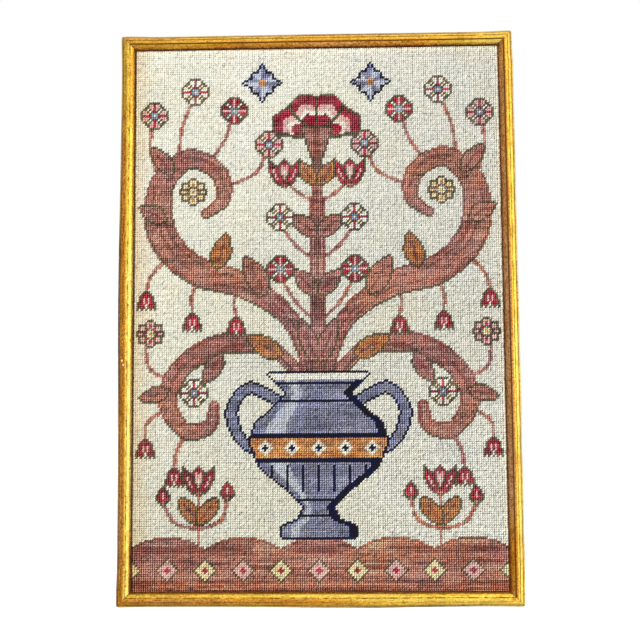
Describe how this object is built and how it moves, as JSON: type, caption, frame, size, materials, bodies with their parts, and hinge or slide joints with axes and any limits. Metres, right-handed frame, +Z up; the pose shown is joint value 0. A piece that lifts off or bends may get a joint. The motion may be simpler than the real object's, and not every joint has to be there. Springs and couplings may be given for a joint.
{
  "type": "framed needlepoint picture",
  "caption": "Upright rectangular wool needlepoint held flat behind the lip of a narrow gilt wooden frame with mitred corners and a low rounded face scored by a groove.",
  "frame": {"origin": "middle of the flat back of the frame's top length, where it rests on the wall", "axes": "+Z up along the picture's height, +Y from the back into the wall, +X to the right seen from the front"},
  "size_m": [0.382, 0.018, 0.55],
  "materials": {
    "gilt_wood": "old gilding over a red-brown ground, toned brown in the hollows",
    "wool_stitches": "matt wool in slanted tent stitch on canvas"
  },
  "bodies": {
    "root": {"frame_top": "gilt_wood", "frame_bottom": "gilt_wood", "frame_left": "gilt_wood", "frame_right": "gilt_wood", "needlework": "wool_stitches"}
  },
  "joints": []
}
